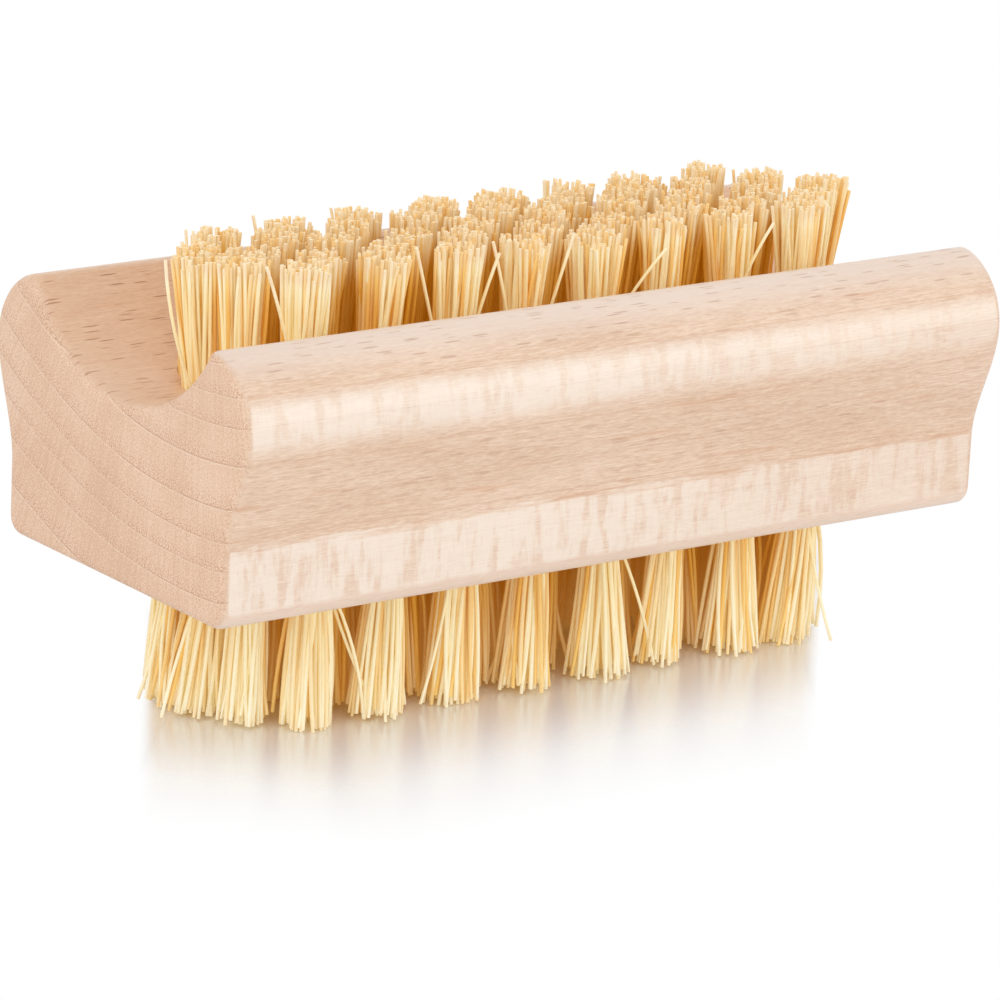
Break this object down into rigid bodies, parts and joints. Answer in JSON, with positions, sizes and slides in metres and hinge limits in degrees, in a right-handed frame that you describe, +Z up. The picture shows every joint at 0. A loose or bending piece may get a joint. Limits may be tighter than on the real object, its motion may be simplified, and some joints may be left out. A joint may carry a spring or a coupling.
{
  "type": "hand brush",
  "caption": "Double-sided hand brush: a beech block, hollowed along its top, with short plant-fibre tufts in the hollow and longer ones under its flat base.",
  "frame": {"origin": "under the middle of the brush, in the plane of the long tufts' tips, on which it stands", "axes": "+X along the brush, +Y across it, +Z up from the long tufts' tips to the hollow top"},
  "size_m": [0.095, 0.045, 0.0463],
  "materials": {
    "beech": "bare beech, sanded smooth, satin",
    "short_fibre": "pale plant fibre, matt",
    "long_fibre": "pale golden plant fibre, matt"
  },
  "bodies": {
    "root": {"wood_block": "beech", "top_tuft_1_01": "short_fibre", "top_tuft_1_02": "short_fibre", "top_tuft_1_03": "short_fibre", "top_tuft_1_04": "short_fibre", "top_tuft_1_05": "short_fibre", "top_tuft_1_06": "short_fibre", "top_tuft_1_07": "short_fibre", "top_tuft_1_08": "short_fibre", "top_tuft_2_01": "short_fibre", "top_tuft_2_02": "short_fibre", "top_tuft_2_03": "short_fibre", "top_tuft_2_04": "short_fibre", "top_tuft_2_05": "short_fibre", "top_tuft_2_06": "short_fibre", "top_tuft_2_07": "short_fibre", "top_tuft_2_08": "short_fibre", "top_tuft_2_09": "short_fibre", "top_tuft_3_01": "short_fibre", "top_tuft_3_02": "short_fibre", "top_tuft_3_03": "short_fibre", "top_tuft_3_04": "short_fibre", "top_tuft_3_05": "short_fibre", "top_tuft_3_06": "short_fibre", "top_tuft_3_07": "short_fibre", "top_tuft_3_08": "short_fibre", "top_tuft_3_09": "short_fibre", "top_tuft_3_10": "short_fibre", "top_tuft_4_01": "short_fibre", "top_tuft_4_02": "short_fibre", "top_tuft_4_03": "short_fibre", "top_tuft_4_04": "short_fibre", "top_tuft_4_05": "short_fibre", "top_tuft_4_06": "short_fibre", "top_tuft_4_07": "short_fibre", "top_tuft_4_08": "short_fibre", "top_tuft_4_09": "short_fibre", "top_tuft_5_01": "short_fibre", "top_tuft_5_02": "short_fibre", "top_tuft_5_03": "short_fibre", "top_tuft_5_04": "short_fibre", "top_tuft_5_05": "short_fibre", "top_tuft_5_06": "short_fibre", "top_tuft_5_07": "short_fibre", "top_tuft_5_08": "short_fibre", "bottom_row_1": "long_fibre", "bottom_row_2": "long_fibre", "bottom_row_3": "long_fibre", "bottom_row_4": "long_fibre", "bottom_row_5": "long_fibre", "bottom_row_6": "long_fibre"}
  },
  "joints": []
}
